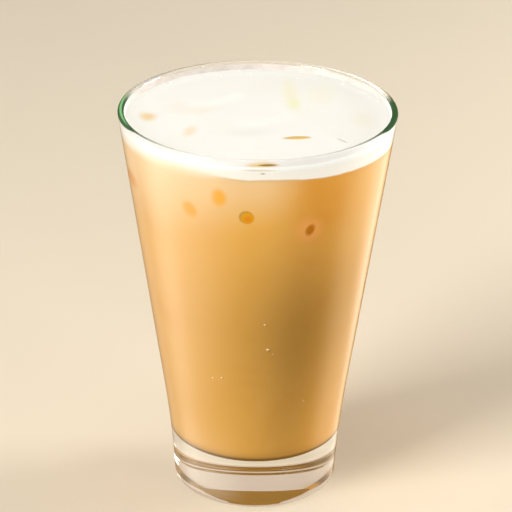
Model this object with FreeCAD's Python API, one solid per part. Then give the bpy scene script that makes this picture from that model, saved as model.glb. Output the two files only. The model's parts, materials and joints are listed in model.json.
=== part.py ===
# Oolong milk tea in its glass: a tapered clear tumbler with a thick base, filled almost to
# the brim with iced milk tea under a layer of white milk foam, with ice cubes at the top.
#
# Millimetres, +Z up. The origin is the middle of the glass's foot, on the surface it
# stands on. The drink's front faces -Y. Profiles are drawn in the XZ plane and revolved.
import FreeCAD, Part
import math
import os

from FreeCAD import Placement, Rotation, Vector

# ---- The glass -------------------------------------------------------------------------
GLASS_HEIGHT = 130.0
RIM_DIAMETER = 88.0
WALL = 2.0                    # thickness of the tapered wall, and of the rounded lip
TAPER_END_HEIGHT = 34.0       # the straight taper runs from the lip down to here
TAPER_END_DIAMETER = 59.7
FOOT_DIAMETER = 53.0          # from the taper's end the wall curves down to this
FOOT_EDGE_RADIUS = 3.0
BASE_THICKNESS = 17.0         # solid glass under the drink
FLOOR_CORNER_RADIUS = 6.0     # where the inner wall meets the inner floor
PUNT_DIAMETER = 36.0          # shallow hollow under the base, inside a flat standing ring
PUNT_DEPTH = 1.6

# ---- The drink: heights are measured down from the rim -----------------------------------
FOAM_DROP = 3.5               # level of the milk foam, away from the wall and the ice
FOAM_SWELL = 0.25             # how far the foam's surface rises and falls around its level
FOAM_CLIMB = 1.0              # how far the foam creeps up the glass
FOAM_CLIMB_WIDTH = 2.0        # and how far in from the glass it starts to
TEA_DROP = 7.6                # level where the foam turns into tea
TEA_SWELL = 0.45              # how far that level wanders
SWELL_LENGTH = 34.0           # distance from one swell to the next, in both surfaces
CROSS_SWELL = 1.4             # how many times more often the swells that cross them come
FOAM_TURN = 0.7               # direction of the foam's swells (radians)
TEA_TURN = 2.1                # and of the tea's
SURFACE_STEPS = 24            # spans, each way, of the grid that both surfaces pass through

# ---- The ice cubes -----------------------------------------------------------------------
ICE_SIZE = 19.0               # a cube's sides; each one is a little more or less than this
ICE_EDGE_RADIUS = 2.6
ICE_DROP = 2.9                # the highest corner's distance below the rim
ICE_WALL_GAP = 0.4            # least distance from a cube to the glass
ICE_LEAN_ROOM = 1.5           # and what a leaning cube's lower corners need on top of it
# Each row: direction from the middle and turn on the spot (degrees), lean (degrees) and the
# direction it leans to, sides as additions to ICE_SIZE, and how much deeper it floats.
OUTER_ICE = [
    (-54.0, 8.0, 4.0, 200.0, (0.0, 1.0, -1.0), 0.0),
    (-113.0, -6.0, 3.0, 60.0, (1.0, -1.0, 0.0), 0.3),
    (189.0, 5.0, 5.0, -30.0, (-1.0, 0.0, 1.0), 0.5),
    (129.0, -4.0, 4.5, 150.0, (0.0, 1.0, 0.0), 0.0),
    (40.0, 12.0, 3.5, 20.0, (1.5, 1.0, -1.0), 0.2),
]
MIDDLE_ICE = (100.0, -72.0, 3.0, 110.0, (0.5, 0.5, 0.0), 0.1)
MIDDLE_ICE_DISTANCE = 4.0     # from the glass's axis to the middle cube's

TOUCH = 0.01                  # lengths under this count as nothing


def straight(points):
    """The straight edges that join a row of points."""
    return [Part.LineSegment(a, b).toShape() for a, b in zip(points, points[1:])]


def arc(start, middle, end):
    return Part.Arc(start, middle, end).toShape()


def at(radius, height):
    """A point of a profile."""
    return Vector(radius, 0, height)


def revolved(edges):
    """The solid that a closed profile sweeps around the Z axis."""
    face = Part.Face(Part.Wire(Part.__sortEdges__(edges)))
    return face.revolve(Vector(0, 0, 0), Vector(0, 0, 1), 360)


class Wall:
    """The glass wall's straight stretch, and the points where its curves start."""

    def __init__(self):
        lip = WALL / 2
        self.lip_centre = at(RIM_DIAMETER / 2 - lip, GLASS_HEIGHT - lip)
        self.taper_end = at(TAPER_END_DIAMETER / 2, TAPER_END_HEIGHT)
        run = self.lip_centre - self.taper_end
        # The wall leans out from upright by this angle, with its outer face tangent to the lip.
        self.lean = math.atan2(run.x, run.z) + math.asin(lip / run.Length)
        self.outward = at(math.cos(self.lean), -math.sin(self.lean))
        self.lip_outside = self.lip_centre + self.outward * lip
        self.lip_inside = self.lip_centre - self.outward * lip
        self.lip_top = self.lip_centre + at(0, lip)

    def inner_radius(self, height):
        """Radius of the inner face's straight line at a height."""
        return self.lip_inside.x - (self.lip_inside.z - height) * math.tan(self.lean)

    def floor_corner(self, inset=0.0):
        """The arc from the inner wall to the inner floor, moved in from both by an inset."""
        radius = FLOOR_CORNER_RADIUS
        floor = BASE_THICKNESS + inset
        centre_height = floor + radius
        away = (radius + inset) / math.cos(self.lean)
        centre = at(self.inner_radius(centre_height) - away, centre_height)
        halfway = (self.lean + math.pi / 2) / 2
        on_wall = centre + self.outward * radius
        middle = centre + at(math.cos(halfway), -math.sin(halfway)) * radius
        on_floor = at(centre.x, floor)
        return on_wall, middle, on_floor

    def foot_curve(self):
        """The outer face from the taper's end to the foot, tangent to the taper."""
        foot = at(FOOT_DIAMETER / 2, 0)
        chord = self.taper_end - foot
        bulge = chord.dot(self.outward)
        if abs(bulge) < TOUCH:
            return straight([self.taper_end, foot])
        # The arc's centre lies on the taper's normal, as far from the foot as from the taper.
        centre = self.taper_end - self.outward * (chord.Length ** 2 / (2 * bulge))
        to_middle = (self.taper_end + foot) * 0.5 - centre
        middle = centre + to_middle * ((self.taper_end - centre).Length / to_middle.Length)
        return [arc(self.taper_end, middle, foot)]


def glass_tumbler(wall):
    """The glass: punt, standing ring, curved foot, taper, rounded lip and thick floor."""
    punt_edge = at(PUNT_DIAMETER / 2, 0)
    punt_top = at(0, PUNT_DEPTH)
    half = PUNT_DIAMETER / 4
    bend = (punt_edge.x ** 2 + PUNT_DEPTH ** 2) / (2 * PUNT_DEPTH)
    punt_middle = at(half, math.sqrt(bend ** 2 - half ** 2) - (bend - PUNT_DEPTH))
    on_wall, corner, on_floor = wall.floor_corner()
    edges = [arc(punt_top, punt_middle, punt_edge)]
    edges += straight([punt_edge, at(FOOT_DIAMETER / 2, 0)])
    edges += wall.foot_curve()
    edges += straight([wall.taper_end, wall.lip_outside])
    edges += [arc(wall.lip_outside, wall.lip_top, wall.lip_inside)]
    edges += straight([wall.lip_inside, on_wall])
    edges += [arc(on_wall, corner, on_floor)]
    edges += straight([on_floor, at(0, BASE_THICKNESS), punt_top])
    glass = revolved(edges)
    foot_edges = [edge for edge in glass.Edges
                  if edge.BoundBox.ZMax < TOUCH
                  and edge.BoundBox.XMax > FOOT_DIAMETER / 2 - TOUCH]
    return glass.makeFillet(FOOT_EDGE_RADIUS, foot_edges)


def inside_of_glass(wall, inset=0.0):
    """The space in the glass up to the lip, or what is left of it away from the glass."""
    on_wall, corner, on_floor = wall.floor_corner(inset)
    top = at(wall.inner_radius(wall.lip_inside.z) - inset / math.cos(wall.lean), wall.lip_inside.z)
    edges = [arc(on_wall, corner, on_floor)]
    edges += straight([on_floor, at(0, on_floor.z), at(0, top.z), top, on_wall])
    return revolved(edges)


def below_surface(height_at):
    """The space below a gently uneven surface, given as a function of X and Y."""
    reach = RIM_DIAMETER / 2
    places = [reach * (2 * i / SURFACE_STEPS - 1) for i in range(SURFACE_STEPS + 1)]
    surface = Part.BSplineSurface()
    surface.interpolate([[Vector(x, y, height_at(x, y)) for y in places] for x in places])
    return surface.toShape().extrude(Vector(0, 0, -GLASS_HEIGHT))


def swell(x, y, turn):
    """An uneven wave between -1 and 1: swells along a direction, and others across it."""
    wave = 2 * math.pi / SWELL_LENGTH
    along = x * math.cos(turn) + y * math.sin(turn)
    across = y * math.cos(turn) - x * math.sin(turn)
    return (math.sin(wave * along + turn) + math.sin(wave * CROSS_SWELL * across - turn)) / 2


def foam_height(wall, x, y):
    """Height of the milk foam's surface, which creeps up where it meets the glass."""
    level = GLASS_HEIGHT - FOAM_DROP
    from_glass = max(0.0, wall.inner_radius(level) - math.hypot(x, y))
    climb = FOAM_CLIMB * math.exp(-from_glass / FOAM_CLIMB_WIDTH)
    return level + FOAM_SWELL * swell(x, y, FOAM_TURN) + climb


def tea_height(x, y):
    """Height where the foam turns into tea."""
    return GLASS_HEIGHT - TEA_DROP + TEA_SWELL * swell(x, y, TEA_TURN)


def ice_cube(row, distance):
    """One cube, a distance from the middle, floating with its highest corner near the rim."""
    direction, turn, lean, lean_to, extra, deeper = row
    sides = [ICE_SIZE + more for more in extra]
    cube = Part.makeBox(*sides, Vector(*(-side / 2 for side in sides)))
    cube = cube.makeFillet(ICE_EDGE_RADIUS, cube.Edges)
    across = Vector(-math.sin(math.radians(lean_to)), math.cos(math.radians(lean_to)), 0)
    turned = Rotation(Vector(0, 0, 1), direction + turn)
    leaning = Rotation(across, lean)
    way = Vector(math.cos(math.radians(direction)), math.sin(math.radians(direction)), 0)
    cube.Placement = Placement(way * distance, leaning.multiply(turned))
    rise = GLASS_HEIGHT - ICE_DROP - deeper - cube.BoundBox.ZMax
    return cube.translated(Vector(0, 0, rise))


def ice_cubes(wall):
    """The cubes that show: one in the middle and a ring of them near the glass."""
    foot = GLASS_HEIGHT - ICE_DROP - ICE_SIZE
    half = ICE_SIZE / 2
    # A cube that faces the glass keeps the two outer corners of its foot within this radius.
    reach = wall.inner_radius(foot) - ICE_WALL_GAP - ICE_LEAN_ROOM
    ring = math.sqrt(reach ** 2 - half ** 2) - half
    room = inside_of_glass(wall, ICE_WALL_GAP)
    cubes = []
    for row, distance in [(MIDDLE_ICE, MIDDLE_ICE_DISTANCE)] + [(row, ring) for row in OUTER_ICE]:
        cube = ice_cube(row, distance).common(room)
        for other in cubes:
            cube = cube.cut(other)
        cubes.append(cube)
    return cubes


def main():
    wall = Wall()
    glass = glass_tumbler(wall)
    inside = inside_of_glass(wall)
    under_foam_top = below_surface(lambda x, y: foam_height(wall, x, y))
    under_tea_top = below_surface(tea_height)
    ice = ice_cubes(wall)
    tea = inside.common(under_tea_top).cut(ice)
    foam = inside.common(under_foam_top).cut(under_tea_top).cut(ice)
    nodes = {"glass_tumbler": glass, "milk_tea": tea, "milk_foam": foam}
    for number, cube in enumerate(ice, 1):
        nodes["ice_cube_%d" % number] = cube
    os.makedirs("parts", exist_ok=True)
    for name, shape in nodes.items():
        solids = shape.Solids
        print("%-14s solids %d valid %s volume %.0f mm3"
              % (name, len(solids), shape.isValid(), shape.Volume))
        solids[0].exportStep("parts/%s.step" % name)


main()
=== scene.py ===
# Oolong milk tea in its glass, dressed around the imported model: clear tumbler, milk tea, white
# milk foam, ice cubes, the places where sunken ice touches the glass, and air bubbles.
import json
import math

import bmesh
import bpy
import numpy as np
from bpy.props import FloatProperty, FloatVectorProperty, IntProperty, PointerProperty
from mathutils import Matrix, Vector, noise
from mathutils.bvhtree import BVHTree

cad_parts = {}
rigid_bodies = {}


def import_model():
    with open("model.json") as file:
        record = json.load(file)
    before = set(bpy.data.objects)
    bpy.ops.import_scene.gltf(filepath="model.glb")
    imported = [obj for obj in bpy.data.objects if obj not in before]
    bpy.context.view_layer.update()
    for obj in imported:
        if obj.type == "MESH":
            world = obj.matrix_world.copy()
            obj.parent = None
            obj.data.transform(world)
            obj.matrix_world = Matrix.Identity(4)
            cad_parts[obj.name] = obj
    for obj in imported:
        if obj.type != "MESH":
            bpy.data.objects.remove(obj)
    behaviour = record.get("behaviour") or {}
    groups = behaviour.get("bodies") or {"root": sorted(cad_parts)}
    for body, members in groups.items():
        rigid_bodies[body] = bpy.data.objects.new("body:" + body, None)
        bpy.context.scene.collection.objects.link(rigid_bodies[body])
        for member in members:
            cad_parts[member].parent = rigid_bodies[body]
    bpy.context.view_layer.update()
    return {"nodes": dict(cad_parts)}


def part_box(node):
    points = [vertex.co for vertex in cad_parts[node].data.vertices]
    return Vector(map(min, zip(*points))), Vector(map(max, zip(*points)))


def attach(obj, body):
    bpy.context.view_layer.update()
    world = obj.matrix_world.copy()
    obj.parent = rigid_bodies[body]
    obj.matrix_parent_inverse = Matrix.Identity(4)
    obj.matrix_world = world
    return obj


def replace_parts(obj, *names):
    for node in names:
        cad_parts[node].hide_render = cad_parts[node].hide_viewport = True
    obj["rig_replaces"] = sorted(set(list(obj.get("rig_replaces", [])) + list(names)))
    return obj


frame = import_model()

MM = 0.001

bl_info = {
    "name": "Oolong Milk Tea",
    "version": (1, 0, 0),
    "blender": (4, 5, 0),
    "location": "View3D > Sidebar > Milk Tea",
    "description": "Makes an iced oolong milk tea in a clear tumbler around its packed model",
    "category": "Object",
}


# ---- Sizes taken from the frame ----

GLASS_LOW, GLASS_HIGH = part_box("glass_tumbler")
TEA_LOW, TEA_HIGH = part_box("milk_tea")
GLASS_HEIGHT = GLASS_HIGH.z - GLASS_LOW.z
RIM_RADIUS = (GLASS_HIGH.x - GLASS_LOW.x) / 2
ICE_NODES = sorted(name for name in frame["nodes"] if name.startswith("ice_cube_"))

# The solids' surfaces: how often the swells that cross come, and each surface's direction.
CROSS_SWELL, FOAM_TURN, TEA_TURN = 1.4, 0.7, 2.1
# Fractal noise on shapes: its dimension, the step from octave to octave, and their number.
FRACTAL = (1.0, 2.0, 3)
# Faces that meet at less than this are shaded as one.
SMOOTH_ANGLE = math.radians(35)

# Where sunken ice touches the glass. Each row: degrees from the front, depth below the rim and
# half sizes (mm), tilt (degrees), softness, strength and shade.
CONTACT_SPOTS = (
    (24.0, 25.6, 3.4, 3.2, 20, 0.95, 0.6, (1.0, 0.40, 0.12)),
    (24.5, 25.8, 1.4, 1.9, 20, 0.4, 0.95, (0.52, 0.15, 0.0)),
    (-16.3, 13.9, 2.1, 2.8, 0, 0.5, 1.0, (0.90, 0.40, 0.03)),
    (-30.6, 19.7, 2.1, 2.6, -35, 0.5, 1.0, (0.88, 0.37, 0.02)),
    (-74.6, 19.1, 4.8, 2.6, 0, 0.6, 0.95, (0.78, 0.27, 0.0)),
    (-4.6, 20.0, 2.2, 2.2, 0, 0.12, 0.8, (0.45, 0.24, 0.02)),
    (-4.1, 20.35, 2.0, 2.0, 0, 0.15, 1.0, (0.76, 0.32, 0.01)),
    (-4.0, 20.7, 0.9, 0.8, 0, 0.8, 0.6, (0.80, 0.16, 0.004)),
)
# Where the edges of ice show through the foam, and one grey patch of painted shade. Each row: X, Y and half
# sizes (mm), turn (degrees), softness, strength and shade.
FOAM_STAINS_AND_SHADE = (
    (10.5, 21.0, 2.2, 12.0, 4, 0.9, 0.55, (0.93, 0.88, 0.60)),
    (11.5, 12.0, 1.8, 3.5, 0, 0.9, 0.5, (0.86, 0.88, 0.48)),
    (20.0, 20.0, 4.5, 9.0, -8, 0.9, 0.35, (0.93, 0.90, 0.68)),
    (33.0, 0.0, 3.0, 6.0, 0, 0.9, 0.3, (0.92, 0.82, 0.62)),
    (-18.0, 6.0, 5.0, 3.0, 20, 0.9, 0.3, (0.92, 0.82, 0.62)),
    # Painted shade: a grey patch on the foam.
    (-3.0, -12.0, 7.0, 3.0, 10, 0.9, 0.25, (0.78, 0.76, 0.74)),
    (-34.5, 0.0, 2.2, 3.4, 15, 0.7, 0.85, (0.87, 0.62, 0.30)),
    (-21.0, -12.0, 1.6, 3.4, -15, 0.8, 0.6, (0.90, 0.70, 0.40)),
    (12.0, -17.5, 4.1, 1.1, 4, 0.3, 0.9, (0.62, 0.36, 0.03)),
    (12.5, -18.0, 3.6, 0.6, 4, 0.4, 0.9, (0.86, 0.50, 0.08)),
    (26.0, -19.0, 0.35, 2.2, 40, 0.4, 0.8, (0.20, 0.28, 0.12)),
)
# Where ice shows through the foam and its film in front; the columns are those of CONTACT_SPOTS.
FILM_MARKS = (
    (2.0, 1.95, 4.4, 0.55, 0, 0.5, 0.8, (0.86, 0.56, 0.12)),
    (4.2, 1.9, 2.7, 0.32, 0, 0.4, 1.0, (0.34, 0.18, 0.01)),
    (1.0, 3.6, 4.6, 0.3, 0, 0.6, 0.6, (0.66, 0.45, 0.26)),
    (2.2, 4.7, 0.7, 0.3, 0, 0.5, 0.6, (0.40, 0.26, 0.16)),
)
# Half a mark's reach through the wall, half a stain's height, and its middle below the rim.
MARK_DEEP, STAIN_DEEP, STAIN_DROP = 4 * MM, 1.8 * MM, 3.2 * MM


# ---- Properties ----

def number(name, description, default, **more):
    return FloatProperty(name=name, description=description, default=default, **more)


def length(name, description, default):
    return number(name, description, default, subtype="DISTANCE", unit="LENGTH")


def degrees(name, description, default):
    return number(name, description, math.radians(default), subtype="ANGLE", unit="ROTATION")


def watts(name, description, default):
    return number(name, description, default, subtype="POWER")


def whole(name, description, default, least=0):
    return IntProperty(name=name, description=description, default=default, min=least)


def colour(name, description, default):
    return FloatVectorProperty(name=name, description=description, default=default, size=3,
                               min=0.0, max=1.0, subtype="COLOR")


class GlassSettings(bpy.types.PropertyGroup):
    """The clear tumbler, with the same sizes as its solid."""

    wall: length("Wall", "Thickness of the wall and of the rounded lip", 2.0 * MM)
    taper_end_height: length("Taper end height", "Height where the straight taper ends", 34.0 * MM)
    taper_end_radius: length("Taper end radius", "Outer radius where the straight taper ends", 29.85 * MM)
    foot_radius: length("Foot radius", "Outer radius before the edge is rounded", 26.5 * MM)
    foot_edge: length("Foot edge", "Rounding of the foot's edge", 3.0 * MM)
    floor_corner: length("Floor corner", "Rounding between the inner wall and floor", 6.0 * MM)
    punt_radius: length("Punt radius", "Radius of the hollow under the base", 18.0 * MM)
    punt_depth: length("Punt depth", "Depth of the hollow under the base", 1.6 * MM)
    segments: whole("Segments", "Facets around the glass", 160, 24)
    tint: colour("Tint", "Colour of the glass where it is looked through", (0.96, 0.97, 0.96))
    lip_tint: colour("Lip tint", "Colour of the lip, where the glass is seen along its thickness",
                     (0.05, 0.11, 0.045))
    shadow: colour("Shadow", "Colour of light that has passed through the glass", (0.90, 0.90, 0.88))
    crest: colour("Crest", "Colour of the lip's crest at its two sides", (0.26, 0.58, 0.24))
    film: colour("Film", "Colour of the thin milky film above the drink", (0.76, 0.69, 0.66))
    front_film: colour("Front film", "Colour of the dense film in front", (0.95, 0.91, 0.88))


class DrinkSettings(bpy.types.PropertyGroup):
    """The milk tea and its foam."""

    bite: length("Bite", "How far the drink reaches into the glass, to show no gap", 0.2 * MM)
    foam_drop: length("Foam drop", "Level of the foam, below the rim", 3.5 * MM)
    foam_swell: length("Foam swell", "Rise and fall of the foam's level", 0.25 * MM)
    foam_climb: length("Foam climb", "How far the foam creeps up the glass", 1.0 * MM)
    foam_climb_width: length("Foam climb width", "How far from the glass the creep starts", 2.0 * MM)
    tea_drop: length("Tea drop", "Level where the foam turns into tea, below the rim", 7.6 * MM)
    tea_swell: length("Tea swell", "Rise and fall of that level", 0.45 * MM)
    swell_length: length("Swell length", "Distance from one swell to the next", 34.0 * MM)
    coat: length("Coat", "Thickness of the foam that clings to the ice", 0.3 * MM)
    foam_soft: length("Foam softness", "How softly the foam runs from a cube to its level", 0.6 * MM)
    tea: colour("Tea", "Colour of the milk tea", (0.82, 0.415, 0.085))
    # Also the colour of the painted shade down the right-centre of the tea.
    deep_tea_and_shade: colour("Deep tea", "Colour of the tea where less milk has mixed in", (0.70, 0.27, 0.03))
    # Also the colour of the painted light just under the foam at the left.
    creamy_tea: colour("Creamy tea", "Colour of the tea just under the foam", (0.93, 0.72, 0.46))
    foam: colour("Foam", "Colour of the milk foam", (0.95, 0.94, 0.90))
    warm_foam: colour("Warm foam", "Colour of the foam against the glass", (0.95, 0.89, 0.80))
    foam_line: colour("Foam line", "Colour of the thin line under the foam in front", (0.66, 0.48, 0.26))
    # Colour of the painted shade along the drink's lower edge.
    foot_shade: colour("Foot line", "Colour of the drink along its lower edge", (0.30, 0.13, 0.015))


class IceSettings(bpy.types.PropertyGroup):
    """The ice cubes."""

    grain: length("Grain", "Size of the facets of a cube", 0.6 * MM)
    melt: length("Melt", "How unevenly a cube has melted", 0.3 * MM)
    ice: colour("Ice", "Colour of ice with milk on it", (0.90, 0.84, 0.78))
    frost: colour("Frost", "Colour of its cloudy places", (0.95, 0.93, 0.90))


class BubbleSettings(bpy.types.PropertyGroup):
    """Air bubbles on the foam and against the glass."""

    foam_bubbles: whole("Foam bubbles", "Number of bubbles on the foam", 90)
    largest: length("Largest", "Radius of the largest bubble on the foam", 0.38 * MM)
    seed: whole("Seed", "Picks another scatter of the bubbles", 7)
    tea_skin: colour("Tea skin", "Colour of a bubble against the tea", (0.95, 0.66, 0.32))
    foam_skin: colour("Foam skin", "Colour of a bubble on the foam", (0.95, 0.93, 0.88))


class StageSettings(bpy.types.PropertyGroup):
    """Floor, lamps and camera."""

    floor: colour("Floor", "Colour of the floor", (0.80, 0.70, 0.56))
    sky: colour("Sky", "Colour of the surroundings", (0.86, 0.80, 0.72))
    through: colour("Through", "Colour of the surroundings through glass", (0.72, 0.57, 0.44))
    below: colour("Below", "Colour mirrored in the glass from below", (0.42, 0.26, 0.12))
    ambient: number("Ambient", "Light from all around", 0.06, min=0.0)
    under: number("Under", "Light from straight below", 2.6, min=0.0)
    glow: colour("Glow", "Colour of that light", (1.0, 0.98, 0.95))
    lamp_colour: colour("Lamp colour", "Colour of the soft lamps", (1.0, 0.99, 0.95))
    key: watts("Key", "Power of the large soft lamp", 21.5)
    top: watts("Top", "Power of the lamp straight above", 1.8)
    back: watts("Back", "Power of the soft lamp behind", 7.0)
    edge: watts("Edge", "Power of the lamp behind the right", 12.0)
    glint: watts("Glint", "Power of the small lamp mirrored in the base", 0.6)
    foot: watts("Foot", "Power of the narrow lamp aimed low", 24.0)
    brim: watts("Brim", "Power of the narrow lamp aimed high", 47.0)
    card: colour("Card", "Colour of the cards mirrored in the glass", (1.0, 0.96, 0.84))
    left_card: number("Left card", "Brightness mirrored at the left", 4.1, min=0.0)
    right_card: number("Right card", "Brightness mirrored at the right", 1.0, min=0.0)
    distance: length("Distance", "From the camera to the point it looks at", 0.8)
    look_height: length("Look height", "Height of the point it looks at", 78.8 * MM)
    elevation: degrees("Elevation", "How far the camera looks down", 24.6)
    roll: degrees("Roll", "How far the camera is tilted sideways", 0.5)
    lens: number("Lens", "Focal length in millimetres", 174.6, min=1.0)


def props(group):
    """The settings of the glass, drink, ice, bubbles or stage."""
    return getattr(bpy.context.scene, "milk_tea_" + group)


# ---- Node trees ----

def arithmetic(operation):
    """An operator of Value and its reflected form, which add a Math node."""
    return (lambda value, other: value.math(operation, other),
            lambda value, other: value.graph.number(operation, other, value))


class Value:
    """A socket that holds a number: plain arithmetic on it adds the Math nodes."""

    def __init__(self, graph, socket):
        self.graph = graph
        self.socket = socket

    def math(self, operation, *others, clamp=False):
        inputs = dict(enumerate((self, *others)))
        return self.graph.value("ShaderNodeMath", {"operation": operation, "use_clamp": clamp}, inputs)

    __add__, __radd__ = arithmetic("ADD")
    __sub__, __rsub__ = arithmetic("SUBTRACT")
    __mul__, __rmul__ = arithmetic("MULTIPLY")
    __truediv__, __rtruediv__ = arithmetic("DIVIDE")
    __pow__, __rpow__ = arithmetic("POWER")

    def clamped(self):
        return self.math("ADD", 0.0, clamp=True)

    def smooth(self, low, high):
        """0 below low, 1 above high and an even S between them; low may be the larger."""
        return self.graph.value("ShaderNodeMapRange", {"interpolation_type": "SMOOTHSTEP"},
                                {"Value": self, "From Min": low, "From Max": high}, "Result")


class Graph:
    """Builds a node tree of any kind: every node comes from its one method."""

    def __init__(self, tree):
        self.tree = tree

    @staticmethod
    def socket(sockets, key):
        if isinstance(key, int):
            return sockets[key]
        return next((s for s in sockets if s.identifier == key), None) or sockets[key]

    def node(self, kind, settings=None, inputs=None):
        """A node of a kind; its settings are set first, then its sockets' values or links."""
        node = self.tree.nodes.new(kind)
        for name, setting in (settings or {}).items():
            setattr(node, name, setting)
        for key, given in (inputs or {}).items():
            socket = self.socket(node.inputs, key)
            given = given.socket if isinstance(given, Value) else given
            if isinstance(given, bpy.types.NodeSocket):
                self.tree.links.new(given, socket)
            else:
                socket.default_value = given
        return node

    def out(self, kind, settings=None, inputs=None, output=0):
        return self.socket(self.node(kind, settings, inputs).outputs, output)

    def value(self, kind, settings=None, inputs=None, output=0):
        return Value(self, self.out(kind, settings, inputs, output))

    def number(self, operation, *terms):
        return self.value("ShaderNodeMath", {"operation": operation}, dict(enumerate(terms)))

    def vector(self, operation, *terms, output=0):
        return self.out("ShaderNodeVectorMath", {"operation": operation}, dict(enumerate(terms)), output)

    def mix(self, factor, first, second):
        """A colour between two colours."""
        return self.out("ShaderNodeMix", {"data_type": "RGBA"},
                        {"Factor_Float": factor, "A_Color": opaque(first), "B_Color": opaque(second)},
                        "Result_Color")

    def mix_shader(self, factor, first, second):
        return self.out("ShaderNodeMixShader", inputs={0: factor, 1: first, 2: second})

    def background(self, shade, strength=1.0):
        return self.out("ShaderNodeBackground", inputs={"Color": opaque(shade), "Strength": strength})

    def parts(self, vector):
        """The X, Y and Z of a vector."""
        node = self.node("ShaderNodeSeparateXYZ", inputs={0: vector})
        return [Value(self, socket) for socket in node.outputs]

    def blot(self, place, centre, turn, sizes, soft):
        """1 in an ellipsoid and 0 outside it: its centre, turn, half sizes and the edge's softness."""
        inside = self.out("ShaderNodeMapping", {"vector_type": "TEXTURE"},
                          {"Vector": place, "Location": centre, "Rotation": turn, "Scale": sizes})
        return Value(self, self.vector("LENGTH", inside, output="Value")).smooth(1 + soft, 1 - soft)

    def noise(self, place, scale, detail, roughness, distortion=0.0):
        return self.value("ShaderNodeTexNoise", {"noise_dimensions": "3D"},
                          {"Vector": place, "Scale": scale, "Detail": detail, "Roughness": roughness,
                           "Distortion": distortion}, "Fac")


def opaque(shade):
    return shade if isinstance(shade, bpy.types.NodeSocket) else (*tuple(shade)[:3], 1.0)


class Finish(Graph):
    """A material under construction."""

    def __init__(self, name):
        self.material = bpy.data.materials.new(name)
        self.material.use_nodes = True
        super().__init__(self.material.node_tree)
        self.tree.nodes.clear()
        self.place = self.out("ShaderNodeTexCoord", output="Object")

    def principled(self, **inputs):
        named = {name.replace("_", " "): given for name, given in inputs.items()}
        named["Base Color"] = opaque(named["Base Color"])
        return self.out("ShaderNodeBsdfPrincipled", inputs=named)

    def bump(self, height, strength, distance):
        return self.out("ShaderNodeBump",
                        inputs={"Height": height, "Strength": strength, "Distance": distance})

    def done(self, shader):
        self.node("ShaderNodeOutputMaterial", inputs={"Surface": shader})
        return self.material


def new_geometry_tree(name, sockets):
    """A Geometry Nodes tree with a geometry in and out and the named inputs."""
    tree = bpy.data.node_groups.new(name, "GeometryNodeTree")
    tree.is_modifier = True
    tree.interface.new_socket("Geometry", in_out="OUTPUT", socket_type="NodeSocketGeometry")
    tree.interface.new_socket("Geometry", in_out="INPUT", socket_type="NodeSocketGeometry")
    for socket_name, kind in sockets:
        tree.interface.new_socket(socket_name, in_out="INPUT", socket_type="NodeSocket" + kind)
    return Graph(tree)


def keep_result(piece):
    """Makes what a piece's modifiers give its plain mesh."""
    bpy.context.view_layer.update()
    evaluated = piece.evaluated_get(bpy.context.evaluated_depsgraph_get())
    mesh = bpy.data.meshes.new_from_object(evaluated)
    piece.modifiers.clear()
    old = piece.data
    piece.data = mesh
    mesh.name = piece.name
    bpy.data.meshes.remove(old)
    return piece


def run_geometry_tree(piece, tree, given):
    """Runs a tree on a piece with the given inputs and keeps the result."""
    modifier = piece.modifiers.new(tree.name, "NODES")
    modifier.node_group = tree
    for item in tree.interface.items_tree:
        if item.item_type == "SOCKET" and item.in_out == "INPUT" and item.name in given:
            modifier[item.identifier] = given[item.name]
    return keep_result(piece)


def new_piece(name, vertices, faces=()):
    mesh = bpy.data.meshes.new(name)
    mesh.from_pydata([tuple(v) for v in vertices], [], [tuple(f) for f in faces])
    piece = bpy.data.objects.new(name, mesh)
    bpy.context.scene.collection.objects.link(piece)
    return piece


def set_material(piece, material):
    piece.data.materials.clear()
    piece.data.materials.append(material)


def finish_piece(piece, slot, *nodes):
    """Shades a piece, lets it ride with the glass and stand for its solids."""
    piece.data.shade_smooth()
    piece.data.set_sharp_from_angle(angle=SMOOTH_ANGLE)
    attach(piece, "root")
    if nodes:
        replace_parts(piece, *nodes)


# ---- The glass's outline ----

def point(radius, height):
    """A point of an outline, as a vector in the XZ plane."""
    return Vector((radius, 0.0, height))


def around_axis(radius, turn, height):
    """A place at some degrees from the front, towards +X."""
    turn = math.radians(turn)
    return radius * math.sin(turn), -radius * math.cos(turn), height


def arc(centre, start, end, steps):
    """Points on a circle from one point to another, the short way round, without the first."""
    first, last = start - centre, end - centre
    begin = math.atan2(first.z, first.x)
    turn = math.atan2(last.z, last.x) - begin
    turn = (turn + math.pi) % (2 * math.pi) - math.pi
    angles = (begin + turn * i / steps for i in range(1, steps + 1))
    return [centre + point(math.cos(angle), math.sin(angle)) * first.length for angle in angles]


def run(start, end, steps):
    """Points on a straight stretch, without the first."""
    return [start.lerp(end, i / steps) for i in range(1, steps + 1)]


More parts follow.
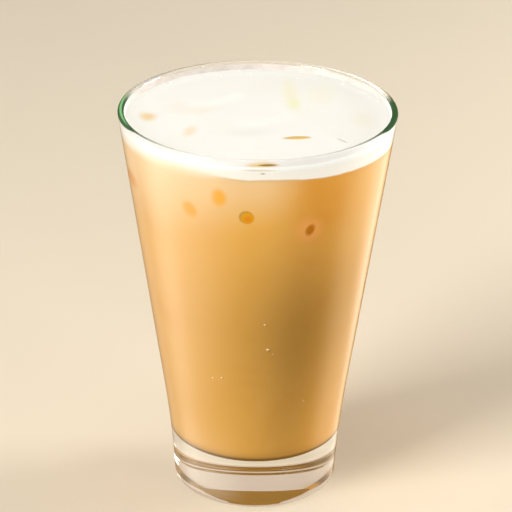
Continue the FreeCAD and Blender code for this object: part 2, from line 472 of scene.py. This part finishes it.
class Wall:
    """The tumbler's wall as its solid has it: a straight taper that is tangent to a round lip."""

    # How many stretches each part of the outlines is drawn with.
    PUNT_STEPS, RING_STEPS, EDGE_STEPS, FOOT_STEPS = 10, 3, 12, 12
    TAPER_STEPS, LIP_STEPS, CORNER_STEPS, FLOOR_STEPS = 24, 8, 10, 6
    DRINK_STEPS, LEVEL_STEPS = 60, 4

    def __init__(self):
        self.glass = props("glass")
        lip = self.glass.wall / 2
        self.lip_centre = point(RIM_RADIUS - lip, GLASS_HEIGHT - lip)
        self.taper_end = point(self.glass.taper_end_radius, self.glass.taper_end_height)
        rise = self.lip_centre - self.taper_end
        self.lean = math.atan2(rise.x, rise.z) + math.asin(lip / rise.length)
        self.outward = point(math.cos(self.lean), -math.sin(self.lean))
        self.lip_outside = self.lip_centre + self.outward * lip
        self.lip_inside = self.lip_centre - self.outward * lip
        self.floor = TEA_LOW.z

    def inner_radius(self, height, bite=0.0):
        """Radius of the inner face at a height, or of a face that bites into the glass."""
        radius = self.lip_inside.x - (self.lip_inside.z - height) * math.tan(self.lean)
        return radius + bite / math.cos(self.lean)

    def floor_corner(self, bite=0.0):
        """Centre, start on the wall and end on the floor of the rounded inner corner."""
        radius = self.glass.floor_corner
        height = self.floor + radius
        centre = point(self.inner_radius(height) - radius / math.cos(self.lean), height)
        return centre, centre + self.outward * (radius + bite), centre - point(0, radius + bite)

    def foot_curve(self):
        """The outer face from the taper's end down to the rounded edge of the foot, and that edge."""
        foot = point(self.glass.foot_radius, 0)
        chord = self.taper_end - foot
        centre = self.taper_end - self.outward * (chord.length_squared / (2 * chord.dot(self.outward)))
        bend = (self.taper_end - centre).length
        edge = self.glass.foot_edge
        # The edge's circle touches the ground and, from inside the glass, the curved face.
        across = math.sqrt((bend + edge) ** 2 - (centre.z - edge) ** 2)
        edge_centre = point(centre.x - across, edge)
        touch = edge_centre + (centre - edge_centre).normalized() * edge
        return centre, edge_centre, touch

    def outline(self):
        """The glass from the middle of its punt, over the lip, to the middle of its floor."""
        punt_edge, punt_top = point(self.glass.punt_radius, 0), point(0, self.glass.punt_depth)
        bend = (punt_edge.length_squared + punt_top.z ** 2) / (2 * punt_top.z)
        centre, edge_centre, touch = self.foot_curve()
        corner_centre, on_wall, on_floor = self.floor_corner()
        points = [punt_top]
        points += arc(punt_top - point(0, bend), punt_top, punt_edge, self.PUNT_STEPS)
        points += run(punt_edge, point(edge_centre.x, 0), self.RING_STEPS)
        points += arc(edge_centre, points[-1], touch, self.EDGE_STEPS)
        points += arc(centre, touch, self.taper_end, self.FOOT_STEPS)
        points += run(self.taper_end, self.lip_outside, self.TAPER_STEPS)
        crest = self.lip_centre + point(0, self.glass.wall / 2)
        points += arc(self.lip_centre, self.lip_outside, crest, self.LIP_STEPS)
        points += arc(self.lip_centre, points[-1], self.lip_inside, self.LIP_STEPS)
        points += run(self.lip_inside, on_wall, self.TAPER_STEPS)
        points += arc(corner_centre, on_wall, on_floor, self.CORNER_STEPS)
        points += run(on_floor, point(0, self.floor), self.FLOOR_STEPS)
        return points

    def drink_outline(self, top, bite):
        """The drink from the middle of the glass's floor up the wall to a level, and back in."""
        corner_centre, on_wall, on_floor = self.floor_corner(bite)
        points = [point(0, on_floor.z)]
        points += run(points[0], on_floor, self.FLOOR_STEPS)
        points += arc(corner_centre, on_floor, on_wall, self.CORNER_STEPS)
        points += run(on_wall, point(self.inner_radius(top, bite), top), self.DRINK_STEPS)
        points += run(points[-1], point(0, top), self.LEVEL_STEPS)
        return points


def end_geometry_tree(graph, given, geometry):
    """Makes a tree's result real, gives it the tree's material and hands it out."""
    real = graph.out("GeometryNodeRealizeInstances", inputs={"Geometry": geometry})
    done = graph.out("GeometryNodeSetMaterial",
                     inputs={"Geometry": real, "Material": given.outputs["Material"]})
    graph.node("NodeGroupOutput", inputs={0: done})
    return graph.tree


def lathe_tree():
    """Turns an outline in the XZ plane around Z: its points in order become rings of a shell."""
    graph = new_geometry_tree("lathe", [("Segments", "Int"), ("Material", "Material")])
    given = graph.node("NodeGroupInput")
    count = graph.out("GeometryNodeAttributeDomainSize", {"component": "MESH"},
                      {"Geometry": given.outputs["Geometry"]}, "Point Count")
    around = graph.value("ShaderNodeMath", {"operation": "ADD"}, {0: given.outputs["Segments"], 1: 1.0})
    grid = graph.out("GeometryNodeMeshGrid", inputs={"Vertices X": around, "Vertices Y": count})
    index = graph.value("GeometryNodeInputIndex")
    step = graph.value("FunctionNodeIntegerMath", {"operation": "DIVIDE"}, {0: index, 1: count})
    along = graph.out("FunctionNodeIntegerMath", {"operation": "MODULO"}, {0: index, 1: count})
    outline = graph.out("GeometryNodeSampleIndex", {"data_type": "FLOAT_VECTOR"},
                        {"Geometry": given.outputs["Geometry"],
                         "Value": graph.out("GeometryNodeInputPosition"), "Index": along})
    radius, _, height = graph.parts(outline)
    angle = step * (2 * math.pi) / Value(graph, given.outputs["Segments"])
    x, y = radius * angle.math("COSINE"), radius * angle.math("SINE")
    place = graph.out("ShaderNodeCombineXYZ", inputs={"X": x, "Y": y, "Z": height})
    shell = graph.out("GeometryNodeSetPosition", inputs={"Geometry": grid, "Position": place})
    closed = graph.out("GeometryNodeMergeByDistance", inputs={"Geometry": shell, "Distance": 1e-6})
    smooth = graph.out("GeometryNodeSetShadeSmooth", inputs={"Geometry": closed})
    return end_geometry_tree(graph, given, smooth)


def lathed(name, outline, material):
    """A piece turned from an outline."""
    piece = new_piece(name, outline)
    given = {"Segments": props("glass").segments, "Material": material}
    return run_geometry_tree(piece, lathe_tree(), given)


def bubble_tree():
    """A small ball at every point, as large as the point's radius says."""
    graph = new_geometry_tree("bubbles", [("Detail", "Int"), ("Material", "Material")])
    given = graph.node("NodeGroupInput")
    radius = graph.out("GeometryNodeInputNamedAttribute", {"data_type": "FLOAT"}, {"Name": "radius"})
    ball = graph.out("GeometryNodeMeshIcoSphere",
                     inputs={"Radius": 1.0, "Subdivisions": given.outputs["Detail"]})
    spread = graph.out("GeometryNodeInstanceOnPoints",
                       inputs={"Points": given.outputs["Geometry"], "Instance": ball, "Scale": radius})
    return end_geometry_tree(graph, given, spread)


# ---- Uneven surfaces ----

def swell(x, y, turn):
    """The uneven wave of the solids' surfaces, between about -1 and 1."""
    wave = 2 * math.pi / props("drink").swell_length
    along = x * math.cos(turn) + y * math.sin(turn)
    across = y * math.cos(turn) - x * math.sin(turn)
    return (np.sin(wave * along + turn) + np.sin(wave * CROSS_SWELL * across - turn)) / 2


def foam_level(wall, x, y):
    """Height of the foam between the cubes; it creeps up where it meets the glass."""
    drink = props("drink")
    level = GLASS_HEIGHT - drink.foam_drop
    from_glass = np.maximum(0.0, wall.inner_radius(level) - np.hypot(x, y))
    climb = drink.foam_climb * np.exp(-from_glass / drink.foam_climb_width)
    return level + drink.foam_swell * swell(x, y, FOAM_TURN) + climb


def tea_level(x, y):
    """Height where the foam turns into tea."""
    drink = props("drink")
    return GLASS_HEIGHT - drink.tea_drop + drink.tea_swell * swell(x, y, TEA_TURN)


def rough(x, y, size, seed):
    """Smooth noise of a given size over the drink's top, between about -1 and 1."""
    return np.array([noise.fractal(Vector((a / size, b / size, seed)), *FRACTAL)
                     for a, b in zip(x.ravel(), y.ravel())]).reshape(x.shape)


# ---- Materials ----

def glass_finish():
    """Clear glass with a lip that is green at its two sides, and a film of foam above the drink."""
    glass = props("glass")
    wall = Wall()
    finish = Finish("clear_glass")
    x, y, height = finish.parts(finish.place)
    below = (GLASS_HEIGHT - height) / MM
    out = (x * x + y * y) ** 0.5
    side = (x / RIM_RADIUS).math("ABSOLUTE")
    front = (y / RIM_RADIUS).smooth(0.4, 0.1)
    # How deep the green reaches, in millimetres: it is deepest at the two sides.
    zone = 0.14 + side.smooth(0.84, 0.97) * 0.95
    lip = ((zone - below) / (zone * 0.4)).clamped() * front * (side ** 3 * 1.45).clamped()
    crest = (out - wall.lip_centre.x).math("ABSOLUTE").smooth(0.55 * MM, 0.15 * MM)
    crest = crest * side.smooth(0.88, 0.97) * (x / RIM_RADIUS).smooth(0.9, -0.9)
    green = finish.mix(crest, glass.lip_tint, glass.crest)
    # The film lies on the inner face, from the foam to just under the lip: dense and white in
    # front, thin and streaked behind.
    middle = wall.lip_centre.x - (wall.lip_centre.z - height) * math.tan(wall.lean)
    inner = (middle - out).smooth(0.0, 0.4 * MM)
    streaks = finish.noise(finish.place, 180.0, 3.0, 0.6, 0.5)
    behind = (y / RIM_RADIUS).smooth(-0.1, 0.35)
    thin = 0.35 + streaks * 0.7
    film = inner * below.smooth(4.6, 4.2) * below.smooth(0.5, 1.0) * (0.95 + behind * (thin - 0.95))
    milk = wall_marks(finish, wall, finish.mix(behind, glass.front_film, glass.film), FILM_MARKS)
    clear = finish.principled(Base_Color=glass.tint, Roughness=0.0, IOR=1.5, Transmission_Weight=1.0)
    milky = finish.principled(Base_Color=milk, Roughness=0.5, Specular_IOR_Level=0.1)
    edge = finish.principled(Base_Color=green, Roughness=0.4, Specular_IOR_Level=0.0)
    seen = finish.mix_shader(lip, finish.mix_shader(film, clear, milky), edge)
    passed = finish.out("ShaderNodeBsdfTransparent", inputs={"Color": opaque(glass.shadow)})
    shadow = finish.out("ShaderNodeLightPath", output="Is Shadow Ray")
    return finish.done(finish.mix_shader(shadow, seen, passed))


def milk_shade(finish):
    """Colour of the drink at every depth: foam, a border that wanders, creamy tea and tea, with painted shade
    and painted light in it.

    Depths are in millimetres below the rim; side runs from -1 at the left to 1 at the right.
    """
    drink = props("drink")
    x, _, height = finish.parts(finish.place)
    depth = (GLASS_HEIGHT - height) / MM
    side = x / TEA_HIGH.x
    clouds = finish.noise(finish.place, 28.0, 3.0, 0.55, 0.6)
    wisps = finish.noise(finish.place, 95.0, 2.0, 0.5, 0.3)
    # Painted shade: the tea is darker down its right-centre, where the lamps light it least; the clouds and
    # wisps are its own uneven tone.
    painted_shade = (side - 0.42).math("ABSOLUTE").smooth(0.38, 0.0)
    deep_and_shade = clouds.smooth(0.45, 0.75) * 0.3 + wisps.smooth(0.5, 0.8) * 0.06 + painted_shade * 0.25
    tea = finish.mix(deep_and_shade, drink.tea, drink.deep_tea_and_shade)
    # Creamy tea under the foam, partly milk that hasn't mixed in and partly painted light from above and from
    # the lit left: it reaches deepest at the left; at the right there is hardly any.
    reach = 27 - side * 12 + (clouds - 0.5) * 16
    cream_and_painted_light = depth.smooth(reach, 6) * side.smooth(0.45, 0.0) * 0.5
    tea = finish.mix(cream_and_painted_light, tea, drink.creamy_tea)
    amber = (side - 0.5).math("ABSOLUTE").smooth(0.34, 0.0) * (depth - 18).math("ABSOLUTE").smooth(16, 2)
    tea = finish.mix(amber * (0.3 + wisps * 0.7), tea, drink.deep_tea_and_shade)
    dip = (side + 0.62).math("ABSOLUTE").smooth(0.5, 0.0)
    border = 6.9 - dip * 0.4 + side.smooth(0.1, 0.7) * 1.6 + (wisps - 0.5) * 1.2
    soft = 0.35 + dip * 3.4
    foam = ((border + soft - depth) / (soft * 2)).smooth(0.0, 1.0)
    froth = finish.mix(depth.smooth(3.2, 5.0), drink.foam, drink.warm_foam)
    froth = finish.mix(dip * depth.smooth(3.5, 7.5) * 0.8, froth, drink.creamy_tea)
    line = (depth - border - 0.4).math("ABSOLUTE").smooth(0.5, 0.1) * side.math("ABSOLUTE").smooth(0.45, 0.15)
    return finish.mix(line * 0.5, finish.mix(foam, tea, froth), drink.foam_line)


def wall_marks(finish, wall, base, marks):
    """A colour with marks on it, each at its place on the glass's inner face."""
    for angle, depth, across, high, tilt, soft, strength, shade in marks:
        height = GLASS_HEIGHT - depth * MM
        centre = around_axis(wall.inner_radius(height), angle, height)
        mark = finish.blot(finish.place, centre, (0.0, math.radians(tilt), math.radians(angle)),
                           (across * MM, MARK_DEEP, high * MM), soft)
        base = finish.mix(mark * strength, base, shade)
    return base


def tea_finish():
    """Opaque milk tea, and the spots where sunken ice touches the glass."""
    finish = Finish("milk_tea")
    wall = Wall()
    base = wall_marks(finish, wall, milk_shade(finish), CONTACT_SPOTS)
    # Painted shade: the rounded lower edge faces down and is seen along its surface, so it gets a thin dark
    # line.
    above = (finish.parts(finish.place)[2] - wall.floor) / MM
    line = above.smooth(2.6, 1.2) * above.smooth(-0.1, 0.1)
    base = finish.mix(line * 0.85, base, props("drink").foot_shade)
    return finish.done(finish.principled(Base_Color=base, Roughness=0.6, Specular_IOR_Level=0.0))


def foam_finish():
    """White milk foam: creamy or amber where the edges of ice show through it, with one grey patch of painted
    shade.
    """
    finish = Finish("milk_foam")
    base = wall_marks(finish, Wall(), milk_shade(finish), FILM_MARKS)
    for x, y, across, along, turn, soft, strength, shade in FOAM_STAINS_AND_SHADE:
        stain_and_shade = finish.blot(finish.place, (x * MM, y * MM, GLASS_HEIGHT - STAIN_DROP),
                            (0.0, 0.0, math.radians(turn)), (across * MM, along * MM, STAIN_DEEP), soft)
        base = finish.mix(stain_and_shade * strength, base, shade)
    fine = finish.noise(finish.place, 900.0, 2.0, 0.6)
    froth = finish.value("ShaderNodeTexVoronoi", {"feature": "F1"},
                         {"Vector": finish.place, "Scale": 1400.0}, "Distance")
    normal = finish.bump(froth * 0.6 + fine * 0.4, 0.15, 0.0003)
    return finish.done(finish.principled(Base_Color=base, Roughness=0.5 + fine * 0.15,
                                         Coat_Weight=0.1, Coat_Roughness=0.3, Normal=normal))


def ice_finish():
    """Ice with milk on it: pale, wet and a little cloudy."""
    ice = props("ice")
    finish = Finish("milky_ice")
    clouds = finish.noise(finish.place, 160.0, 3.0, 0.6, 0.8)
    base = finish.mix(clouds.smooth(0.35, 0.7), ice.ice, ice.frost)
    normal = finish.bump(clouds, 0.2, 0.0006)
    return finish.done(finish.principled(Base_Color=base, Roughness=0.22 + clouds * 0.2, IOR=1.31,
                                         Coat_Weight=0.6, Coat_Roughness=0.08, Normal=normal))


def bubble_finish():
    """The milky skin of an air bubble."""
    bubbles = props("bubbles")
    finish = Finish("bubble_skin")
    height = finish.parts(finish.place)[2]
    on_top = height.smooth(TEA_HIGH.z - 1 * MM, TEA_HIGH.z)
    base = finish.mix(on_top, bubbles.tea_skin, bubbles.foam_skin)
    return finish.done(finish.principled(Base_Color=base, Roughness=0.35, Specular_IOR_Level=0.3))


# ---- Operators ----

class MILKTEA_OT_glass(bpy.types.Operator):
    """Make the clear tumbler"""

    bl_idname = "milk_tea.glass"
    bl_label = "Glass"

    def execute(self, context):
        piece = lathed("clear_tumbler", Wall().outline(), glass_finish())
        # Light that the tea scatters leaves through the wall as if it weren't there.
        piece.visible_diffuse = False
        finish_piece(piece, "glass", "glass_tumbler")
        return {"FINISHED"}


class MILKTEA_OT_tea(bpy.types.Operator):
    """Make the milk tea, which reaches just into the glass"""

    bl_idname = "milk_tea.tea"
    bl_label = "Milk Tea"

    def execute(self, context):
        drink = props("drink")
        top = GLASS_HEIGHT - drink.tea_drop + drink.tea_swell
        piece = lathed("tea_body", Wall().drink_outline(top, drink.bite), tea_finish())
        finish_piece(piece, "milk_tea", "milk_tea")
        return {"FINISHED"}


class MILKTEA_OT_ice(bpy.types.Operator):
    """Make the melting ice cubes from their solids"""

    bl_idname = "milk_tea.ice"
    bl_label = "Ice Cubes"

    # Rounds of smoothing, size of a melted patch, the noise's step from cube to cube, and its mean.
    SMOOTHING, PATCH, STEP, MEAN = 4, 9 * MM, 3.7, 0.35

    def execute(self, context):
        ice = props("ice")
        material = ice_finish()
        for number, name in enumerate(ICE_NODES, 1):
            piece = self.melted(name, "ice_%d" % number, ice, number)
            set_material(piece, material)
            finish_piece(piece, "ice", name)
        return {"FINISHED"}

    def melted(self, node, name, ice, number):
        """A copy of a cube's solid in even facets, with its faces melted unevenly."""
        mesh = frame["nodes"][node].data.copy()
        work = bmesh.new()
        work.from_mesh(mesh)
        bmesh.ops.remove_doubles(work, verts=work.verts, dist=1e-6)
        work.to_mesh(mesh)
        work.free()
        piece = bpy.data.objects.new(name, mesh)
        bpy.context.scene.collection.objects.link(piece)
        remesh = piece.modifiers.new("even", "REMESH")
        remesh.mode = "VOXEL"
        remesh.voxel_size = ice.grain
        smooth = piece.modifiers.new("smooth", "SMOOTH")
        smooth.iterations = self.SMOOTHING
        for vertex in keep_result(piece).data.vertices:
            where = vertex.co / self.PATCH + Vector((self.STEP * number, 0, 0))
            depth = noise.fractal(where, *FRACTAL) - self.MEAN
            vertex.co = vertex.co + vertex.normal * (ice.melt * depth)
        return piece


class MILKTEA_OT_foam(bpy.types.Operator):
    """Make the milk foam, which coats the cubes"""

    bl_idname = "milk_tea.foam"
    bl_label = "Milk Foam"

    # Rings and points around each, points along the height grid's side, and rounds of smoothing.
    RINGS, AROUND, GRID, EVENING = 110, 384, 181, 24
    # The top ends this far in the glass, and its side starts this much lower.
    RIM_BITE, EDGE_FALL, SIDE_ROWS = 0.03 * MM, 0.8 * MM, 8
    # The underside's rings, as shares of the rim, and how far they lie in the tea.
    UNDER_RINGS, UNDER_BITE = (0.97, 0.8, 0.5, 0.25), 0.2 * MM
    # Size and height of the froth's relief, and size and unevenness of the coat on a cube.
    FROTH_SIZE, FROTH_HEIGHT = 7 * MM, 0.22 * MM
    COAT_SIZE, COAT_UNEVEN = 6 * MM, 0.8
    # How far below the rim ice is looked for.
    ICE_REACH = 12 * MM

    def execute(self, context):
        drink, wall = props("drink"), Wall()
        rim = wall.inner_radius(GLASS_HEIGHT - drink.foam_drop + drink.foam_climb, self.RIM_BITE)
        angle = np.linspace(0, 2 * math.pi, self.AROUND, endpoint=False)
        rings = np.linspace(0, 1, self.RINGS + 1)[1:]
        radius = rim * rings[:, None] * np.ones(self.AROUND)[None, :]
        x, y = radius * np.cos(angle), radius * np.sin(angle)
        field = self.top_field(wall, drink, rim)
        top = self.sampled(field, rim, x, y)
        # From its last ring the foam slopes steeply into the glass, so that its edge doesn't
        # catch the light; the wall leans, so its side follows the glass at every height.
        rows = [(x, y, top)]
        side_top = top[-1] - self.EDGE_FALL
        side_low = tea_level(x[-1], y[-1])
        for step in np.linspace(0, 1, self.SIDE_ROWS):
            height = side_top + (side_low - side_top) * step
            out = np.array([wall.inner_radius(z, drink.bite * 1.25) for z in height])
            rows.append((out * np.cos(angle), out * np.sin(angle), height))
        for step in self.UNDER_RINGS:
            under_x, under_y = rim * step * np.cos(angle), rim * step * np.sin(angle)
            rows.append((under_x, under_y, tea_level(under_x, under_y) - self.UNDER_BITE))
        vertices = [(0.0, 0.0, float(self.sampled(field, rim, np.zeros(1), np.zeros(1))[0]))]
        for row in rows:
            vertices += list(zip(*(np.ravel(values) for values in row)))
        vertices.append((0.0, 0.0, float(tea_level(0.0, 0.0) - self.UNDER_BITE)))
        piece = new_piece("foam_head", vertices, self.shell(len(vertices)))
        set_material(piece, foam_finish())
        finish_piece(piece, "milk_foam", "milk_foam")
        return {"FINISHED"}

    def shell(self, count):
        """Faces of a shell whose points are a pole, ring after ring outwards, and a pole."""
        faces = []
        last = count - 1 - self.AROUND
        for j in range(self.AROUND):
            k = (j + 1) % self.AROUND
            faces.append((0, 1 + j, 1 + k))
            for a in range(1, last, self.AROUND):
                b = a + self.AROUND
                faces.append((a + j, b + j, b + k, a + k))
            faces.append((last + j, count - 1, last + k))
        return faces

    def top_field(self, wall, drink, rim):
        """Height of the foam over the drink and its cubes, on a square grid, with no creases."""
        side = np.linspace(-rim, rim, self.GRID)
        x, y = np.meshgrid(side, side)
        level = foam_level(wall, x, y)
        level = level + rough(x, y, self.FROTH_SIZE, 1.0) * self.FROTH_HEIGHT
        ice_top = np.full(x.shape, -1.0)
        graph = bpy.context.evaluated_depsgraph_get()
        trees = [BVHTree.FromObject(o, graph) for o in bpy.context.scene.objects
                 if o.name.startswith("ice_") and "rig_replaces" in o]
        for place in np.ndindex(x.shape):
            start = Vector((x[place], y[place], GLASS_HEIGHT))
            for tree in trees:
                hit = tree.ray_cast(start, Vector((0, 0, -1)), self.ICE_REACH)[0]
                if hit is not None:
                    ice_top[place] = max(ice_top[place], hit.z)
        coat = drink.coat * (1 + self.COAT_UNEVEN * rough(x, y, self.COAT_SIZE, 9.0))
        soft = drink.foam_soft
        gap = np.clip((ice_top + coat - level) / soft, -30, 30)
        height = np.where(ice_top > 0, level + soft * np.log1p(np.exp(gap)), level)
        for _ in range(self.EVENING):
            height = (height * 2 + np.roll(height, 1, 0) + np.roll(height, -1, 0)
                      + np.roll(height, 1, 1) + np.roll(height, -1, 1)) / 6
        return height

    def sampled(self, field, rim, x, y):
        """The grid's height at places between its points."""
        last = self.GRID - 1
        across, along = (np.clip((v / rim + 1) / 2 * last, 0, last - 0.001) for v in (x, y))
        i, j = across.astype(int), along.astype(int)
        u, v = across - i, along - j
        return (field[j, i] * (1 - u) * (1 - v) + field[j, i + 1] * u * (1 - v)
                + field[j + 1, i] * (1 - u) * v + field[j + 1, i + 1] * u * v)


class MILKTEA_OT_bubbles(bpy.types.Operator):
    """Make the air bubbles against the glass and on the foam's edge"""

    bl_idname = "milk_tea.bubbles"
    bl_label = "Bubbles"

    # Bubbles against the glass. Each row: degrees from the front, depth below the rim, radius (mm).
    AGAINST_GLASS = (
        (4.7, 59.0, 0.50), (6.7, 68.5, 0.60), (-25.8, 80.9, 0.42), (-20.0, 80.2, 0.42),
        (9.5, 70.2, 0.25), (-33.0, 52.0, 0.25), (31.0, 90.0, 0.28), (118.0, 47.0, 0.45),
        (163.0, 66.0, 0.40), (-141.0, 58.0, 0.48), (-97.0, 88.0, 0.35), (74.0, 75.0, 0.30),
    )
    # Subdivisions of a bubble, and how far from the glass one floats on average.
    DETAIL, SPREAD = 2, 2.0 * MM

    def execute(self, context):
        bubbles = props("bubbles")
        drink, wall, rows = props("drink"), Wall(), []
        for angle, depth, radius in self.AGAINST_GLASS:
            height = GLASS_HEIGHT - depth * MM
            out = wall.inner_radius(height, drink.bite) - radius * 0.3 * MM
            rows.append((angle, out, height, radius * MM))
        chance = np.random.default_rng(bubbles.seed)
        level = GLASS_HEIGHT - drink.foam_drop
        for _ in range(bubbles.foam_bubbles):
            angle, size = chance.uniform(0, 360), bubbles.largest * (0.35 + 0.65 * chance.random() ** 3)
            out = wall.inner_radius(level) - size - chance.exponential(self.SPREAD)
            x, y, _ = around_axis(out, angle, level)
            rows.append((angle, out, float(foam_level(wall, x, y)) - size * 0.2, size))
        places = [around_axis(out, angle, height) for angle, out, height, _ in rows]
        piece = new_piece("air_bubbles", places)
        radii = piece.data.attributes.new("radius", "FLOAT", "POINT")
        radii.data.foreach_set("value", [size for *_, size in rows])
        run_geometry_tree(piece, bubble_tree(), {"Detail": self.DETAIL, "Material": bubble_finish()})
        finish_piece(piece, "milk_foam")
        return {"FINISHED"}


class MILKTEA_OT_stage(bpy.types.Operator):
    """Make the floor, the lamps and the camera"""

    bl_idname = "milk_tea.stage"
    bl_label = "Stage"

    # Square lamps. Each row: degrees from the front and up, distance and size (m).
    AREA_LAMPS = {
        "key": (-53, 27, 1.3, 0.6),
        "top": (0, 87, 1.3, 0.5),
        "back": (190, 8, 1.5, 0.8),
        "edge": (106, 14, 1.0, 0.4),
        "glint": (52, 28, 1.0, 0.08),
    }
    AREA_AIM = 0.07
    # Narrow lamps. Each row: degrees from the front and up, height of their aim, and degrees across.
    SPOT_LAMPS = {
        "brim": (24, -3, 122 * MM, 3.8),
        "foot": (38, 5, 14 * MM, 4.2),
    }
    SPOT_DISTANCE, SPOT_RADIUS = 1.2, 0.03
    FLOOR_RADIUS, FLOOR_CORNERS, FLOOR_DROP = 4.0, 96, 0.2 * MM
    # How far beside the glass's axis the camera looks.
    LOOK_ASIDE = -0.18 * MM

    def execute(self, context):
        stage = props("stage")
        self.floor(stage)
        self.sky(context, stage)
        for name, row in self.AREA_LAMPS.items():
            lamp = self.area(name, stage, *row)
            # Through the base, the lamp behind would show as a white square.
            lamp.visible_glossy = lamp.visible_transmission = name != "back"
        for name, row in self.SPOT_LAMPS.items():
            self.spot(name, stage, *row)
        self.camera(context, stage)
        return {"FINISHED"}

    def floor(self, stage):
        radius, corners = self.FLOOR_RADIUS, range(self.FLOOR_CORNERS)
        turns = [2 * math.pi * i / self.FLOOR_CORNERS for i in corners]
        vertices = [(radius * math.cos(turn), radius * math.sin(turn), -self.FLOOR_DROP) for turn in turns]
        floor = new_piece("floor", vertices, [corners])
        finish = Finish("pale_floor")
        mottle = finish.noise(finish.place, 6.0, 4.0, 0.6)
        base = finish.mix(mottle, stage.floor, tuple(0.94 * c for c in stage.floor))
        surface = finish.principled(Base_Color=base, Roughness=0.7, Specular_IOR_Level=0.2)
        set_material(floor, finish.done(surface))
        # The floor neither mirrors in the wall nor lights it, which keeps the drink's contrast,
        # and it lets the light from straight below through to the underside of the drink.
        floor.visible_glossy = floor.visible_diffuse = floor.visible_shadow = False

    @staticmethod
    def sky(context, stage):
        """Soft light all around, pale through glass and with two bright cards where it is mirrored."""
        world = bpy.data.worlds.new("surroundings")
        world.use_nodes = True
        context.scene.world = world
        graph = Graph(world.node_tree)
        graph.tree.nodes.clear()
        path = graph.node("ShaderNodeLightPath")
        x, y, z = graph.parts(graph.out("ShaderNodeTexCoord", output="Generated"))
        left = x.smooth(-0.05, -0.75) * (1 - y.smooth(0.0, 0.6) * 0.8)
        left = left * z.smooth(-0.74, -0.52) * z.smooth(0.1, -0.2)
        right = x.smooth(0.2, 0.5) * y.smooth(-0.25, 0.25) * (0.9 + z.smooth(-0.56, -0.48) * 0.8)
        strength = z.smooth(-0.1, 0.1) * 0.8 + left * stage.left_card + right * stage.right_card
        cards = graph.background(stage.card, strength)
        cards = graph.out("ShaderNodeAddShader", inputs={0: cards, 1: graph.background(stage.below)})
        mixed = graph.background(stage.glow, stage.ambient + z.smooth(-0.88, -0.97) * stage.under)
        shown, through = graph.background(stage.sky), graph.background(stage.through)
        # Each kind of ray sees its own surroundings; the rest of the light comes from the glow.
        for ray, seen in (("Glossy", cards), ("Transmission", through), ("Camera", shown)):
            mixed = graph.mix_shader(path.outputs["Is %s Ray" % ray], mixed, seen)
        graph.node("ShaderNodeOutputWorld", inputs={"Surface": mixed})

    @staticmethod
    def lamp(name, kind, power, around, up, distance, aim_height):
        """A lamp some degrees from the front, towards +X, and up; it points at the glass's axis."""
        name += "_lamp"
        lamp = bpy.data.objects.new(name, bpy.data.lights.new(name, kind))
        lamp.data.energy = power
        up = math.radians(up)
        way = Vector(around_axis(math.cos(up), around, math.sin(up)))
        place = way * distance + Vector((0, 0, aim_height))
        lamp.matrix_world = Matrix.Translation(place) @ way.to_track_quat("Z", "Y").to_matrix().to_4x4()
        bpy.context.scene.collection.objects.link(lamp)
        return lamp

    def area(self, name, stage, around, up, distance, size):
        lamp = self.lamp(name, "AREA", getattr(stage, name), around, up, distance, self.AREA_AIM)
        lamp.data.shape = "SQUARE"
        lamp.data.size = size
        lamp.data.color = stage.lamp_colour
        return lamp

    def spot(self, name, stage, around, up, aim_height, cone):
        """A narrow, soft lamp that isn't mirrored."""
        lamp = self.lamp(name, "SPOT", getattr(stage, name), around, up, self.SPOT_DISTANCE,
                         aim_height)
        lamp.data.spot_size = math.radians(cone)
        lamp.data.spot_blend = 1.0
        lamp.data.shadow_soft_size = self.SPOT_RADIUS
        lamp.visible_glossy = False

    def camera(self, context, stage):
        data = bpy.data.cameras.new("camera")
        data.lens = stage.lens
        data.sensor_width = 36.0
        data.clip_start = 0.01
        camera = bpy.data.objects.new("camera", data)
        look = Vector((0, math.cos(stage.elevation), -math.sin(stage.elevation)))
        turn = look.to_track_quat("-Z", "Y").to_matrix().to_4x4()
        place = Vector((self.LOOK_ASIDE, 0, stage.look_height)) - look * stage.distance
        camera.matrix_world = Matrix.Translation(place) @ turn @ Matrix.Rotation(stage.roll, 4, "Z")
        context.scene.collection.objects.link(camera)
        context.scene.camera = camera
        context.scene.view_settings.view_transform = "Standard"


class MILKTEA_PT_panel(bpy.types.Panel):
    """Lists the pieces of the drink"""

    bl_label = "Milk Tea"
    bl_idname = "MILKTEA_PT_panel"
    bl_space_type = "VIEW_3D"
    bl_region_type = "UI"
    bl_category = "Milk Tea"

    def draw(self, context):
        for operator in OPERATORS:
            self.layout.operator(operator.bl_idname)
        for group in GROUPS:
            box = self.layout.box()
            for name in GROUPS[group].__annotations__:
                box.prop(getattr(context.scene, group), name)


GROUPS = {
    "milk_tea_glass": GlassSettings,
    "milk_tea_drink": DrinkSettings,
    "milk_tea_ice": IceSettings,
    "milk_tea_bubbles": BubbleSettings,
    "milk_tea_stage": StageSettings,
}
OPERATORS = (
    MILKTEA_OT_stage,
    MILKTEA_OT_glass,
    MILKTEA_OT_tea,
    MILKTEA_OT_ice,
    MILKTEA_OT_foam,
    MILKTEA_OT_bubbles,
)


def register():
    for group in GROUPS.values():
        bpy.utils.register_class(group)
    for name, group in GROUPS.items():
        setattr(bpy.types.Scene, name, PointerProperty(type=group))
    for cls in (*OPERATORS, MILKTEA_PT_panel):
        bpy.utils.register_class(cls)


def unregister():
    for cls in (MILKTEA_PT_panel, *reversed(OPERATORS)):
        bpy.utils.unregister_class(cls)
    for name in GROUPS:
        delattr(bpy.types.Scene, name)
    for group in GROUPS.values():
        bpy.utils.unregister_class(group)


def main():
    register()
    for operator in OPERATORS:
        group, name = operator.bl_idname.split(".")
        getattr(getattr(bpy.ops, group), name)()


if __name__ == "__main__":
    main()
